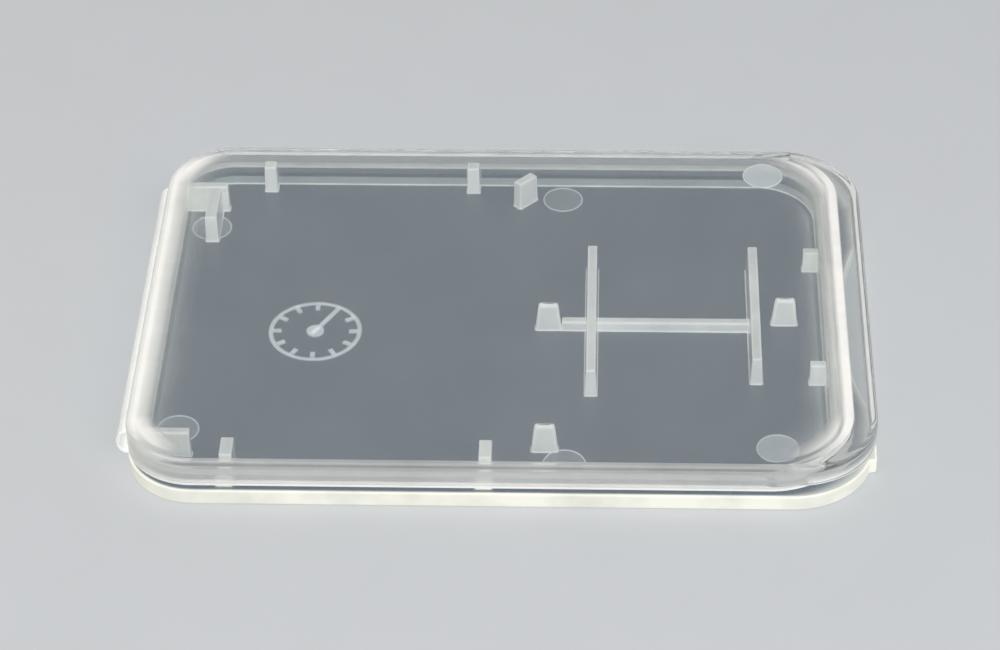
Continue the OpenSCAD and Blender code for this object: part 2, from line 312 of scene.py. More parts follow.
def plan_distance(points, plan):
    """Distance of points outside a plan, negative inside; plan is (rear, front, half width, two radii)."""
    rear, front, half, rear_radius, front_radius = plan
    at_rear = points[:, 0] < (rear + front) / 2
    radius = np.where(at_rear, rear_radius, front_radius)
    middle = np.where(at_rear, rear + rear_radius, front - front_radius)
    along = np.where(at_rear, middle - points[:, 0], points[:, 0] - middle)
    across = np.abs(points[:, 1]) - (half - radius)
    round_part = np.hypot(np.maximum(along, 0), np.maximum(across, 0))
    return np.where((along > 0) & (across > 0), round_part, np.maximum(along, across)) - radius


def plan_normals(points, plan):
    """Outward directions of a plan at points on its outline."""
    slope = [plan_distance(points + step, plan) - plan_distance(points - step, plan)
             for step in np.array([(1e-4, 0), (0, 1e-4)])]
    way = np.column_stack(slope)
    return way / np.linalg.norm(way, axis=1)[:, None]


def line_normals(points):
    """Outward directions of a closed outline that runs anticlockwise."""
    run = np.roll(points, -1, axis=0) - np.roll(points, 1, axis=0)
    way = np.column_stack([run[:, 1], -run[:, 0]])
    return way / np.linalg.norm(way, axis=1)[:, None]


def cast(points, ways, plan, reach=8.0, halvings=50):
    """Moves each point along its own way until it lies on the plan's outline."""
    near, far = np.zeros(len(points)), np.full(len(points), reach)
    on_it = plan_distance(points, plan) < 1e-5
    for _ in range(halvings):
        middle = (near + far) / 2
        outside = plan_distance(points + ways * middle[:, None], plan) > 0
        near, far = np.where(outside, middle, near), np.where(outside, far, middle)
    return points + ways * np.where(on_it, 0, near)[:, None]


def straight(start, end, count):
    """Points from start up to, but without, end."""
    t = np.arange(count)[:, None] / count
    return np.array(start) * (1 - t) + np.array(end) * t


def arc(middle, radius, from_deg, to_deg, count):
    """Points of an arc up to, but without, its end."""
    a = np.radians(from_deg + (to_deg - from_deg) * np.arange(count) / count)
    return np.column_stack([middle[0] + radius * np.cos(a), middle[1] + radius * np.sin(a)])


def plan_outline(plan, front_line=None, along=80):
    """Points round a plan, anticlockwise from the middle of its rear.

    front_line replaces all past the sides, and along is the number of points on each side.
    """
    rear, front, half, rr, fr = plan
    # Points on half of the rear, on a rear corner, on a front corner and on the front
    half_rear, rear_turn, front_turn, across = 10, 20, 28, 40
    parts = [
        straight((rear, 0), (rear, rr - half), half_rear),
        arc((rear + rr, rr - half), rr, 180, 270, rear_turn),
        straight((rear + rr, -half), (front - fr, -half), along),
    ]
    if front_line is None:
        parts += [
            arc((front - fr, fr - half), fr, 270, 360, front_turn),
            straight((front, fr - half), (front, half - fr), across),
            arc((front - fr, half - fr), fr, 0, 90, front_turn),
        ]
    else:
        parts.append(front_line)
    parts += [
        straight((front - fr, half), (rear + rr, half), along),
        arc((rear + rr, half - rr), rr, 90, 180, rear_turn),
        straight((rear, half - rr), (rear, 0), half_rear),
    ]
    return np.concatenate(parts)


def resampled(line, count, crowd):
    """Points along an open line, closer together where it turns: crowd is millimetres for each radian."""
    run = np.diff(line, axis=0)
    turn = np.abs(np.diff(np.unwrap(np.arctan2(run[:, 1], run[:, 0])), prepend=0))
    turn[0] = 0
    weight = np.concatenate([[0], np.cumsum(np.hypot(run[:, 0], run[:, 1]) + crowd * turn)])
    at = np.linspace(0, weight[-1], count, endpoint=False)
    return np.column_stack([np.interp(at, weight, line[:, k]) for k in (0, 1)])


def side_milk_round(ways, finish):
    """Share of light that upright faces scatter: milkiest at the two ends, clearest along the far side."""
    clearer, end_share = 0.65, 0.85
    ends, far = ways[:, 0] ** 2, np.clip(ways[:, 1], 0, 1)
    side = finish.side_milk * (1 - clearer * far)
    return side + (finish.edge_milk * end_share - side) * ends


def quarter(steps):
    """Pairs that go round a quarter of a circle: (share still to go inwards, share gone up or down)."""
    angles = [math.pi / 2 * k / steps for k in range(steps + 1)]
    return [(1 - math.sin(a), 1 - math.cos(a)) for a in angles]


def turned(line, inset, reach, height, rise, milk, steps=3, up=False):
    """Rings round a soft edge of a line; with up they start on its upright side, or else on its flat side."""
    return [(line(inset + reach * (b if up else a)), height + rise * (a if up else b), milk)
            for a, b in quarter(steps)]


class CASE_OT_lid_shell(bpy.types.Operator):
    """Make the lid: top plate, skirt and the lip with the rim under it"""

    bl_idname = "case.lid_shell"
    bl_label = "Lid shell"

    def execute(self, context):
        sizes, finish = context.scene.case_shells, context.scene.case_finish
        plate, crisp = finish.plate_milk, finish.edge_milk
        radii = sizes.rear_radius / MM, sizes.front_radius / MM
        top, under, skirt_foot, rim_foot = COVER_HIGH[2], COVER_LOW[2], SKIRT_LOW[2], RIM_LOW[2]
        edge, fillet, top_round = sizes.edge_round / MM, sizes.fillet / MM, sizes.top_round / MM
        skirt_t, rim_t = sizes.skirt / MM, sizes.rim / MM
        cover = (COVER_LOW[0], COVER_HIGH[0], COVER_HIGH[1], *radii)
        skirt = (SKIRT_LOW[0], SKIRT_HIGH[0], COVER_HIGH[1], *radii)
        outer = plan_outline(cover)
        out = plan_normals(outer, cover)
        wall = cast(outer, -out, skirt)
        wall_out = plan_normals(wall, skirt)
        gap = np.linalg.norm(outer - wall, axis=1)
        rim = np.minimum(rim_t, gap)
        soft = edge * np.clip(gap / rim_t, 0, 1)
        slot = np.maximum(gap - rim, 0)
        # Beside the lip there is no slot: its rings close up into one line of the skirt, and need one milk
        is_open = slot > 1e-6
        nook = np.minimum(fillet, slot / 3)
        roof = np.where(is_open, under, rim_foot)
        inner_soft = np.where(is_open, soft, 0)

        def lip(inset):
            return outer - out * np.broadcast_to(inset, len(outer))[:, None]

        def skirt_in(inset):
            return wall - wall_out * np.broadcast_to(inset, len(wall))[:, None]

        # The skirt is made milkiest at its two ends and clearest along its far side
        ends, rear = np.abs(wall_out[:, 0]), np.clip(-wall_out[:, 0], 0, 1)
        bend = np.clip(np.abs(wall_out[:, 0] * wall_out[:, 1]) * 2, 0, 1)
        tall = side_milk_round(wall_out, finish)
        # Round the lip it is clearer, and the change takes up the start of each corner
        lip_milk = finish.side_milk * 0.55
        side = tall + (lip_milk - tall) * np.clip(gap / (2 * rim_t), 0, 1)

        def in_slot(haze):
            return np.where(is_open, haze, tall)

        # Over the lip the cover is clear, but milkier at its corners
        over_open, over_side = plate * 1.5 + 0.3 * bend, side * (0.35 + 0.65 * rear)
        over_lip = over_side + (over_open - over_side) * np.clip((gap - rim_t) / rim_t, 0, 1)
        rings = [(skirt_in(skirt_t + inset), top, plate + at_bend * bend + at_ends * ends + at_rear * rear)
                 for inset, at_bend, at_ends, at_rear in COVER_HAZE]
        # Where the skirt stands under the cover the plastic is thick, and looks milky from above
        hot = plate + (crisp - plate) * ends
        joint, brim = skirt_in(skirt_t - 0.2), lip(top_round)
        rings += [(skirt_in(skirt_t), top, (plate + hot) / 2 + (hot - plate) / 2 * rear), (joint, top, hot)]
        rings += [(joint + (brim - joint) * t, top, haze)
                  for t, haze in ((0.25, hot), (0.33, over_lip), (0.72, over_lip), (0.82, side))]
        rings += turned(lip, 0, top_round, top, -top_round, side, 7)
        rings += [(lip(0), top - top_round - 1.5 * BESIDE, side)]
        rings += [(lip(0), rim_foot + soft + BESIDE * soft / edge, side)]
        under_rim = side + (crisp - side) * soft / edge
        rings += turned(lip, 0, soft, rim_foot, soft, under_rim, up=True)
        rings += turned(lip, rim, -inner_soft, rim_foot, inner_soft, in_slot(under_rim))
        rings += [(lip(rim), np.maximum(roof - nook, rim_foot + inner_soft), in_slot(side))]
        rings += [(lip(rim + nook * b), roof - nook * a, in_slot(plate + (side - plate) * a))
                  for a, b in quarter(3)]
        rings += [(skirt_in(-nook * a), roof - nook * b, in_slot(tall + (plate - tall) * a))
                  for a, b in quarter(3)]
        # The skirt's lower edge gathers light in the plastic, and a band along it is made white: partly real,
        # partly a painted highlight
        highlight_top, highlight_end = skirt_foot + 0.22, skirt_foot + 0.32
        rings += [(skirt_in(0), highlight_end, tall), (skirt_in(0), highlight_top, crisp)]
        rings += turned(skirt_in, 0, edge, skirt_foot, edge, crisp, up=True)
        rings += turned(skirt_in, skirt_t, -edge, skirt_foot, edge, crisp)
        rings += [(skirt_in(skirt_t), highlight_top, crisp), (skirt_in(skirt_t), highlight_end, tall)]
        rings += [(skirt_in(skirt_t), under - fillet, tall)]
        rings += [(skirt_in(skirt_t + fillet * b), under - fillet * a, tall + (plate - tall) * b)
                  for a, b in quarter(4)]
        rings += [(skirt_in(skirt_t + fillet + NEAR_FILLET), under, plate),
                  (skirt_in(skirt_t + OFF_FILLET), under, plate)]
        shell = loft("lid_shell", rings)
        put("lid_shell", shell, "shell", "lid", ["lid_cover", "lid_skirt", "lid_lip_rim"])
        return {"FINISHED"}


class CASE_OT_base_shell(bpy.types.Operator):
    """Make the base: floor, ledge with the thumb scoop, and the upright wall"""

    bl_idname = "case.base_shell"
    bl_label = "Base shell"

    def outline(self, sizes):
        """Outline of the base, with the straight lip and its thumb scoop."""
        front, half = FLOOR_HIGH[0], FLOOR_HIGH[1]
        fr, back = sizes.front_radius / MM, SKIRT_HIGH[0]
        lip_y, set_back = sizes.lip_length / MM / 2, sizes.lip_setback / MM
        scoop_r, scoop_y = sizes.scoop_radius / MM, sizes.scoop_length / MM / 2
        plan = (FLOOR_LOW[0], front - set_back, half, sizes.rear_radius / MM, fr)
        turn = math.degrees(math.asin((lip_y - (half - fr)) / fr))
        middle = front + math.sqrt(scoop_r ** 2 - scoop_y ** 2)
        horn = math.degrees(math.asin(scoop_y / scoop_r))
        root = math.degrees(math.acos((middle - back) / scoop_r))
        half_line = np.concatenate([
            arc((plan[1] - fr, fr - half), fr, 270, 360 - turn, 200),
            straight((plan[1] - fr + fr * math.cos(math.radians(turn)), -lip_y), (front, -lip_y), 12),
            straight((front, -lip_y), (front, -scoop_y), 100),
            arc((middle, 0), scoop_r, 180 + horn, 180 + root, 100),
            straight((back, -scoop_r * math.sin(math.radians(root))), (back, 0), 100),
        ])
        line = np.concatenate([half_line, [[back, 0.0]], half_line[:0:-1] * [1, -1], [[plan[1] - fr, half]]])
        # Each pass over evenly spaced points softens the lip's corners a little more
        even, passes, kept, crowd, along = 900, 24, 190, 1.2, 160
        line = resampled(line, even, 0)
        for _ in range(passes):
            line[1:-1] = line[1:-1] / 2 + (line[:-2] + line[2:]) / 4
        return plan_outline(plan, resampled(line, kept, crowd), along)

    def execute(self, context):
        sizes, finish = context.scene.case_shells, context.scene.case_finish
        plate, crisp = finish.plate_milk, finish.edge_milk
        edge, fillet, foot = sizes.edge_round / MM, sizes.fillet / MM, sizes.foot_round / MM
        floor, ledge, brim = FLOOR_HIGH[2], sizes.ledge / MM, WALL_HIGH[2]
        wall_t, skirt_t, nook, bright = sizes.wall / MM, sizes.skirt / MM, edge, crisp * 0.75
        # The wall's outer face in plan: its front carries the latch ridge, it is as far in at both sides as
        # at the rear, and the rear stands closer to the skirt than the front does
        closer = 0.2
        front = RIDGE_LOW[0]
        rear = WALL_LOW[0] + skirt_t + (SKIRT_HIGH[0] - skirt_t - front) - closer
        half = FLOOR_HIGH[1] - skirt_t - (rear - WALL_LOW[0] - skirt_t)
        inset = FLOOR_HIGH[1] - half
        wall = (rear, front, half, sizes.rear_radius / MM - inset,
                sizes.front_radius / MM - (SKIRT_HIGH[0] - front))
        outer = self.outline(sizes)
        out = line_normals(outer)
        radial = outer / np.linalg.norm(outer, axis=1)[:, None]
        upright = cast(outer, -radial, wall)
        up_out = plan_normals(upright, wall)
        side = side_milk_round(up_out, finish)
        # Where a side rib stands behind the wall the plastic is thick, and a milky bar crosses the wall
        spread, reach = 0.1, 2
        thick = np.zeros(len(upright))
        for points in solids_of("card_side_ribs"):
            middle, half_width = (points.min(axis=0) + points.max(axis=0)) / 2, np.ptp(points[:, 0]) / 2
            beside = np.abs(upright - middle[:2])
            thick[(beside[:, 0] < half_width + spread) & (beside[:, 1] < reach)] = 1
        strip, side = plate + (crisp - plate) * thick, side + (crisp - side) * thick
        # Its inner face is as clear as the floor along both sides, and milky at the two ends
        inner = plate + 0.8 * up_out[:, 0] ** 2

        def base(inset):
            return outer - out * inset

        def wall_in(inset):
            return upright - up_out * inset

        rings = [(outer - radial * inset, 0.0, plate) for inset in (1.6, 0.6)]
        rings += turned(base, 0, foot, 0, foot, crisp, 5)
        rings += [(base(0), foot + BESIDE, crisp), (base(0), ledge - edge - BESIDE, crisp)]
        rings += turned(base, 0, edge, ledge, -edge, crisp, up=True)
        # The ledge's rim is milky, and the ledge clears towards the wall, which paints shade at the wall's
        # foot
        rings += [(base(edge + 0.06), ledge, crisp * 0.8), (wall_in(-0.38), ledge, plate)]
        # The strip between ledge and skirt is made clear so that it shows dark: a painted shadow line between
        # the shells
        rings += turned(wall_in, 0, -nook, ledge, nook, strip)
        rings += [(wall_in(0), SKIRT_LOW[2], strip), (wall_in(0), SKIRT_LOW[2] + 1.5 * BESIDE, side)]
        rings += [(wall_in(0), brim - edge - BESIDE, side), (wall_in(0), brim - edge, bright)]
        rings += turned(wall_in, 0, edge, brim, -edge, bright, up=True)
        rings += turned(wall_in, wall_t, -edge, brim, -edge, bright)
        rings += [(wall_in(wall_t), brim - edge - BESIDE, inner), (wall_in(wall_t), floor + fillet, inner)]
        # The fillet is milkiest half-way round
        rings += [(wall_in(wall_t + fillet * b), floor + fillet * a,
                   np.maximum(plate + (inner - plate) * a, plate + (crisp - plate) * 4 * a * (1 - a)))
                  for a, b in quarter(5)]
        rings += [(wall_in(wall_t + fillet + NEAR_FILLET), floor, (plate + inner) / 2),
                  (wall_in(wall_t + OFF_FILLET), floor, plate)]
        shell = loft("base_shell", rings)
        put("base_shell", shell, "tray", "base", ["base_floor", "base_rim_wall"])
        return {"FINISHED"}


class CASE_OT_hinge_web(bpy.types.Operator):
    """Make the thin web that joins the two shells and bends as the lid opens"""

    bl_idname = "case.hinge_web"
    bl_label = "Hinge web"

    def execute(self, context):
        thick = context.scene.case_shells.web / MM
        root_x, fold_z, half_l = FLOOR_LOW[0], COVER_HIGH[2] / 2, LEAF_HIGH[1]
        # Half the height of the arch, how far its two ends reach into the shells, and its points
        rise, sunk, steps = 0.93, 0.2, 25
        bulge = root_x - LEAF_LOW[0] - thick / 2
        t = np.linspace(-math.pi / 2, math.pi / 2, steps)
        line = np.column_stack([root_x - bulge * np.cos(t), fold_z + rise * np.sin(t)])
        line = np.concatenate([[[root_x + sunk, fold_z - rise]], line, [[root_x + sunk, fold_z + rise]]])
        run = np.gradient(line, axis=0)
        side = np.column_stack([-run[:, 1], run[:, 0]]) / np.linalg.norm(run, axis=1)[:, None]
        # A quarter thinner along the fold, where the plastic was stretched when it was first bent
        width = thick * (1 - 0.25 * np.concatenate([[0], np.cos(t) ** 4, [0]])) / 2
        section = np.concatenate([line + side * width[:, None], (line - side * width[:, None])[::-1]])
        # Sections along the web, thinner at its two ends
        even = 24
        places = np.concatenate([[-half_l, -half_l + 0.04], np.linspace(-half_l + 0.15, half_l - 0.15, even),
                                 [half_l - 0.04, half_l]])
        shrink = np.concatenate([[0.4, 0.1], np.zeros(even), [0.1, 0.4]])
        middle, count, verts = np.concatenate([line, line[::-1]]), len(section), []
        for y, s in zip(places, shrink):
            at = section * (1 - s) + middle * s
            verts.append(np.column_stack([at[:, 0], np.full(count, y), at[:, 1]]))
        faces = tube(count, len(places))
        for first in (0, (len(places) - 1) * count):
            faces += [(first + i, first + i + 1, first + count - 2 - i, first + count - 1 - i)
                      for i in range(len(line) - 1)]
        mesh = mesh_from("hinge_web", np.concatenate(verts), faces)
        web = put("hinge_web", mesh, "web", None, ["base_hinge_leaf", "lid_hinge_leaf"])
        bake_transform(web)
        return {"FINISHED"}


def solids_of(name):
    """The points of each separate solid of a CAD node, in millimetres."""
    shape = bmesh.new()
    shape.from_mesh(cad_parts[name].data)
    bmesh.ops.remove_doubles(shape, verts=shape.verts, dist=MERGED)
    left, found = set(shape.verts), []
    while left:
        todo, group = [left.pop()], []
        while todo:
            vert = todo.pop()
            group.append(np.array(vert.co) / MM)
            near = {e.other_vert(vert) for e in vert.link_edges} & left
            left -= near
            todo += near
        found.append(np.array(group))
    shape.free()
    return sorted(found, key=lambda g: tuple(g.mean(axis=0)))


def hull(points, least_turn=30):
    """Corners of the convex outline round points in plan, anticlockwise, without those that hardly turn."""
    pts = sorted({(round(x, 4), round(y, 4)) for x, y in points})

    def turns_in(a, b, c):
        return np.cross(np.subtract(b, a), np.subtract(c, a)) <= 1e-6

    def chain(row):
        kept = []
        for p in row:
            while len(kept) > 1 and turns_in(kept[-2], kept[-1], p):
                kept.pop()
            kept.append(p)
        return kept[:-1]

    ring = np.array(chain(pts) + chain(pts[::-1]))
    before, after = ring - np.roll(ring, 1, axis=0), np.roll(ring, -1, axis=0) - ring
    cross = before[:, 0] * after[:, 1] - before[:, 1] * after[:, 0]
    turn = np.degrees(np.arctan2(cross, (before * after).sum(1)))
    return ring[turn > least_turn]


def moved_in(outline, inset):
    """A convex outline with each side moved inwards."""
    run = np.roll(outline, -1, axis=0) - outline
    run = run / np.linalg.norm(run, axis=1)[:, None]
    at = outline + np.column_stack([-run[:, 1], run[:, 0]]) * inset
    # Each corner lies where the side before it meets the side after it
    before, way = np.roll(at, 1, axis=0), np.roll(run, 1, axis=0)
    apart = at - before
    cross = way[:, 0] * run[:, 1] - way[:, 1] * run[:, 0]
    return before + way * ((apart[:, 0] * run[:, 1] - apart[:, 1] * run[:, 0]) / cross)[:, None]


def rounded(outline, radius, steps=4, beside=BESIDE):
    """A convex outline with round corners: at each a point beside the arc, the arc, a point beside it."""
    made = []
    for i in range(len(outline)):
        at, before, after = outline[i], outline[i - 1], outline[(i + 1) % len(outline)]
        back = (before - at) / np.linalg.norm(before - at)
        on = (after - at) / np.linalg.norm(after - at)
        half_angle = math.acos(np.clip(back @ on, -1, 1)) / 2
        # An arc takes up less than half of each side
        room = min(np.linalg.norm(before - at), np.linalg.norm(after - at)) * 0.49
        reach = min(radius / math.tan(half_angle), room)
        r = reach * math.tan(half_angle)
        middle = at + (back + on) / np.linalg.norm(back + on) * r / math.sin(half_angle)
        start, end = at + back * reach - middle, at + on * reach - middle
        sweep = math.atan2(start[0] * end[1] - start[1] * end[0], start @ end)
        aside = min(beside, (room - reach) * 0.9)
        made.append(at + back * (reach + aside))
        for k in range(steps + 1):
            a = sweep * k / steps
            made.append(middle + (start[0] * math.cos(a) - start[1] * math.sin(a),
                                  start[0] * math.sin(a) + start[1] * math.cos(a)))
        made.append(at + on * (reach + aside))
    return np.array(made)


def standing_rib(foot, head, low, high, finish, soften=1.0):
    """Rings of a rib or peg: a fillet round its foot, drafted sides and a soft upper edge.

    Its edges and its narrow ends are milkier than its faces, because light gathers in them.
    """
    flare, edge = finish.rib_foot / MM, finish.rib_round / MM * soften
    face, crisp = finish.rib_milk, finish.edge_milk
    steps, corner, sunk = 4, 0.07 * soften, 0.02
    narrow_end, narrow_milk = 1.2, 0.8
    run = np.linalg.norm(np.roll(foot, -1, axis=0) - foot, axis=1)
    narrow = np.where(run < narrow_end, narrow_milk, 0.0)
    at_edge = np.concatenate([[narrow[i - 1]] + [1] * (steps + 1) + [narrow[i]] for i in range(len(foot))])
    sides = face + (crisp - face) * at_edge

    def level(height):
        share = (height - low) / (high - low)
        return rounded(foot * (1 - share) + head * share, corner, steps), height, sides

    rings = [(rounded(moved_in(foot, -flare), corner + flare, steps), low - sunk, crisp)]
    rings += [(rounded(moved_in(foot, -flare * a), corner + flare * a, steps), low + flare * b, crisp)
              for a, b in quarter(3)]
    rings += [level(low + flare + BESIDE), level(high - edge - BESIDE)]
    rings += [(rounded(moved_in(head, edge * b), corner, steps), high - edge * a, crisp)
              for a, b in quarter(3)]
    rings += [(rounded(moved_in(head, edge * 1.5), corner, steps), high, face)]
    return rings


def ribs_from(name, finish, draft=0.0, soften=1.0):
    """Standing ribs in the place and size of each solid of a CAD node."""
    sets = []
    for points in solids_of(name):
        low, high = points[:, 2].min(), points[:, 2].max()
        foot = hull(points[points[:, 2] < low + LEVEL][:, :2])
        head = hull(points[points[:, 2] > high - LEVEL][:, :2])
        sets.append(standing_rib(foot, moved_in(head, draft), low, high, finish, soften))
    return loft(name, *sets)


class CASE_OT_card_ribs(bpy.types.Operator):
    """Make the ribs that hold the full-size card: at its heel, beside its ends and at its cut corner"""

    bl_idname = "case.card_ribs"
    bl_label = "Card ribs"

    def execute(self, context):
        for name in ("card_heel_ribs", "card_heel_spur", "card_side_ribs", "card_corner_rib"):
            mesh = ribs_from(name, context.scene.case_finish, draft=0.04)
            put(name.replace("card_", "") + "_moulded", mesh, "rib", "base", [name])
        return {"FINISHED"}


class CASE_OT_pegs(bpy.types.Operator):
    """Make the drafted pegs in front of the card and the post under the lid"""

    bl_idname = "case.pegs"
    bl_label = "Pegs and post"

    def execute(self, context):
        for name, piece in (("card_stop_pegs", "stop_pegs_moulded"), ("lid_rest_post", "rest_post_moulded")):
            mesh = ribs_from(name, context.scene.case_finish, draft=-0.08, soften=2.2)
            put(piece, mesh, "rib", "base", [name])
        return {"FINISHED"}


class CASE_OT_micro_cradle(bpy.types.Operator):
    """Make the two bars of the micro card's cradle and the low web between them"""

    bl_idname = "case.micro_cradle"
    bl_label = "Micro card cradle"

    def execute(self, context):
        finish = context.scene.case_finish
        points = solids_of("micro_card_cradle")[0]
        low, high = points[:, 2].min(), points[:, 2].max()
        tops = points[points[:, 2] > high - LEVEL][:, :2]
        split = (tops[:, 0].min() + tops[:, 0].max()) / 2
        seat = points[(points[:, 2] > low + LEVEL) & (points[:, 2] < high - LEVEL)]
        # The low web ends inside the far bar
        x0, x1 = points[:, 0].min(), points[:, 0].max() - 0.1
        y0, y1 = seat[:, 1].min(), seat[:, 1].max()
        sets = []
        for bar in (tops[tops[:, 0] < split], tops[tops[:, 0] > split]):
            foot = hull(bar)
            sets.append(standing_rib(foot, moved_in(foot, 0.09), low, high, finish))
        foot = np.array([(x0, y0), (x1, y0), (x1, y1), (x0, y1)])
        sets.append(standing_rib(foot, moved_in(foot, 0.04), low, seat[:, 2].max(), finish))
        mesh = loft("micro_cradle", *sets)
        put("micro_cradle_moulded", mesh, "rib", "base", ["micro_card_cradle"])
        return {"FINISHED"}


class CASE_OT_wall_stays(bpy.types.Operator):
    """Make the two stays behind the front wall and the latch ridge on its face"""

    bl_idname = "case.wall_stays"
    bl_label = "Stays and latch ridge"

    def execute(self, context):
        finish = context.scene.case_finish
        stays = ribs_from("front_wall_stays", finish, draft=0.03)
        put("wall_stays_moulded", stays, "rib", "base", ["front_wall_stays"])
        face, out = RIDGE_LOW[0], RIDGE_HIGH[0] - RIDGE_LOW[0]
        low, high, sunk = RIDGE_LOW[2], RIDGE_HIGH[2], 0.05
        t = np.linspace(-math.pi / 2, math.pi / 2, 9)
        section = np.column_stack([face + out * np.cos(t), (low + high) / 2 + (high - low) / 2 * np.sin(t)])
        section = np.concatenate([section, [[face - sunk, high], [face - sunk, low]]])
        # Towards each end it sinks to a fifth of how far it stands out
        run_out, end_share = 0.3, 0.2
        places = [RIDGE_LOW[1], RIDGE_LOW[1] + run_out, RIDGE_HIGH[1] - run_out, RIDGE_HIGH[1]]
        verts, count = [], len(section)
        for y, reach in zip(places, (end_share, 1, 1, end_share)):
            x = face + np.where(section[:, 0] > face, reach, 1) * (section[:, 0] - face)
            verts.append(np.column_stack([x, np.full(count, y), section[:, 1]]))
        faces = tube(count, len(places)) + [tuple(range(count)), tuple(range(3 * count, 4 * count))]
        mesh = mesh_from("latch_ridge", np.concatenate(verts), faces, np.full(4 * count, finish.side_milk))
        put("latch_ridge_moulded", mesh, "rib", "base", ["latch_ridge"])
        return {"FINISHED"}


def grow_tree(name, inputs):
    """A Geometry Nodes tree and what it is given: a geometry, a material and inputs (name, kind, value)."""
    tree = bpy.data.node_groups.new(name, "GeometryNodeTree")
    for label, kind, value in (("Geometry", "Geometry", None), *inputs, ("Material", "Material", None)):
        made = tree.interface.new_socket(name=label, in_out="INPUT", socket_type="NodeSocket" + kind)
        if value is not None:
            made.default_value = value
    tree.interface.new_socket(name="Geometry", in_out="OUTPUT", socket_type="NodeSocketGeometry")
    return tree, node(tree, "NodeGroupInput").outputs


def milk_on(tree, geometry, milk):
    """A geometry with the milk attribute."""
    return node(tree, "GeometryNodeStoreNamedAttribute", {
        "Geometry": geometry, "Name": "milk", "Value": milk})


def joined(tree, *parts):
    """One geometry of several."""
    made = node(tree, "GeometryNodeJoinGeometry")
    for part in parts:
        tree.links.new(part.outputs[0], made.inputs[0])
    return made


def grown(name, start, tree, values):
    """The plain mesh that a Geometry Nodes tree makes of a starting mesh, with the inputs set by name."""
    seed = bpy.data.objects.new(name + "_seed", start)
    bpy.context.scene.collection.objects.link(seed)
    step = seed.modifiers.new("grow", "NODES")
    step.node_group = tree
    for item in tree.interface.items_tree:
        if item.item_type == "SOCKET" and item.in_out == "INPUT" and item.name in values:
            step[item.identifier] = values[item.name]
    bpy.context.view_layer.update()
    whole = seed.evaluated_get(bpy.context.evaluated_depsgraph_get())
    made = bpy.data.meshes.new_from_object(whole)
    made.name = name
    bpy.data.objects.remove(seed)
    return made


def dial_tree():
    """Node tree of the moulded dial: a ring, ticks on it, a hub and a pointer."""
    tree, given = grow_tree("moulded_dial", (
        ("Radius", "Float", 0.0035), ("Line", "Float", 0.00035), ("Height", "Float", 0.0001),
        ("Tick", "Float", 0.0008), ("Ticks", "Int", 12)))
    # The hub's share of the ring, the pointer's middle as a share of its length, its angle and the milk
    hub_share, middle_share, angle, milk = 0.2, 0.35, math.radians(60), 0.75
    ring_r = sum_of(tree, "SUBTRACT", given["Radius"], sum_of(tree, "MULTIPLY", given["Line"], 0.5))
    ring = node(tree, "GeometryNodeCurvePrimitiveCircle", {"Resolution": 96, "Radius": ring_r})
    profile = node(tree, "GeometryNodeCurvePrimitiveQuadrilateral", {
        "Width": given["Line"], "Height": given["Height"]})
    band = node(tree, "GeometryNodeCurveToMesh", {"Curve": ring, "Profile Curve": profile})
    tick_r = sum_of(tree, "SUBTRACT", ring_r, sum_of(tree, "MULTIPLY", given["Tick"], 0.5))
    marks = node(tree, "GeometryNodeMeshCircle", {"Vertices": given["Ticks"], "Radius": tick_r})
    tick_size = node(tree, "ShaderNodeCombineXYZ", {
        "X": given["Tick"], "Y": given["Line"], "Z": given["Height"]})
    tick = node(tree, "GeometryNodeMeshCube", {"Size": tick_size})
    way = node(tree, "GeometryNodeInputPosition")
    aligned = node(tree, "FunctionNodeAlignRotationToVector", {"Vector": way}, axis="X")
    ticks = node(tree, "GeometryNodeInstanceOnPoints", {
        "Points": marks, "Instance": tick, "Rotation": aligned})
    disc = node(tree, "GeometryNodeMeshCylinder", {
        "Vertices": 32, "Radius": ring_r, "Depth": given["Height"]})
    hub = node(tree, "GeometryNodeTransform", {"Geometry": disc, "Scale": (hub_share, hub_share, 1.0)})
    needle = node(tree, "ShaderNodeCombineXYZ", {"X": tick_r, "Y": given["Line"], "Z": given["Height"]})
    bar = node(tree, "GeometryNodeMeshCube", {"Size": needle})
    place = node(tree, "ShaderNodeCombineXYZ", {"X": sum_of(tree, "MULTIPLY", tick_r, middle_share)})
    moved = node(tree, "GeometryNodeTransform", {"Geometry": bar, "Translation": place})
    pointer = node(tree, "GeometryNodeTransform", {"Geometry": moved, "Rotation": (0, 0, angle)})
    whole = joined(tree, band, ticks, hub, pointer)
    real = node(tree, "GeometryNodeRealizeInstances", {0: whole})
    done = node(tree, "GeometryNodeSetMaterial", {
        "Geometry": milk_on(tree, real, milk), "Material": given["Material"]})
    node(tree, "NodeGroupOutput", {0: done})
    return tree


class CASE_OT_dial(bpy.types.Operator):
    """Make the plain dial moulded on the floor"""

    bl_idname = "case.dial"
    bl_label = "Moulded dial"

    ticks: IntProperty(name="Ticks", description="Number of ticks on the dial", default=12, min=4, max=24)

    def execute(self, context):
        middle, height = (DIAL_LOW + DIAL_HIGH) / 2, DIAL_HIGH[2] - DIAL_LOW[2]
        values = {"Radius": (DIAL_HIGH[0] - DIAL_LOW[0]) / 2 * MM, "Line": 0.35 * MM, "Height": height * MM,
                  "Tick": 0.8 * MM, "Ticks": self.ticks, "Material": finish_of("mark")}
        mesh = grown("mould_dial", bpy.data.meshes.new("dial_seed"), dial_tree(), values)
        mesh.transform(Matrix.Translation(Vector(middle * MM)))
        put("mould_dial_raised", mesh, "mark", "base", ["mould_dial"])
        return {"FINISHED"}


